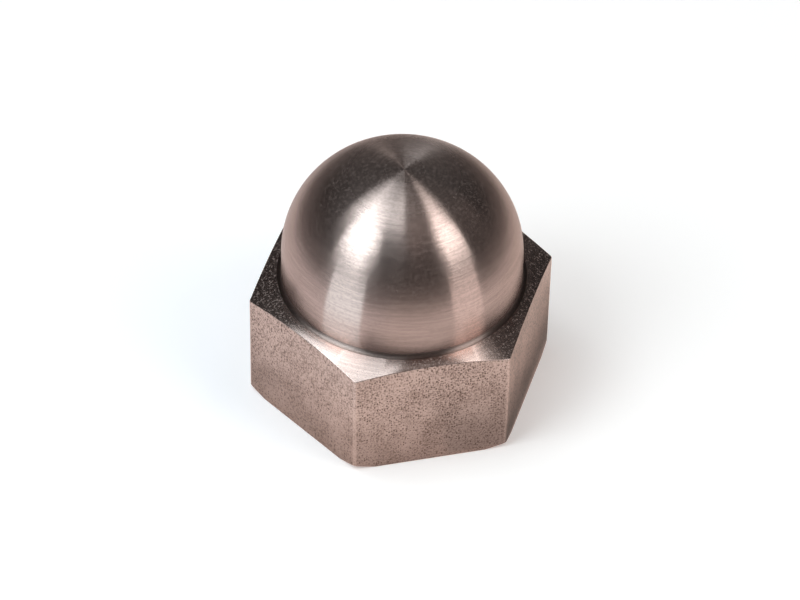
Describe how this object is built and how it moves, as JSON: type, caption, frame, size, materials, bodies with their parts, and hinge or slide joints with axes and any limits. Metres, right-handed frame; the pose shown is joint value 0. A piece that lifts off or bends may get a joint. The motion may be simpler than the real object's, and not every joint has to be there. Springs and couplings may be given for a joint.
{
  "type": "domed pulley nut",
  "caption": "Closed hexagon nut with a turned dome over a conical shoulder and a blind threaded hole below; it clamps a pulley on the threaded end of a shaft.",
  "frame": {"origin": "centre of the bearing face, on the thread's axis", "axes": "+Z along the thread's axis towards the crown of the dome; +X towards a corner of the hexagon"},
  "size_m": [0.0242, 0.021, 0.0209],
  "materials": {
    "turned_steel": "fine turning marks on the dome and shoulder, satin flats with small dark pits"
  },
  "bodies": {
    "root": {"pulley_nut": "turned_steel"}
  },
  "joints": []
}
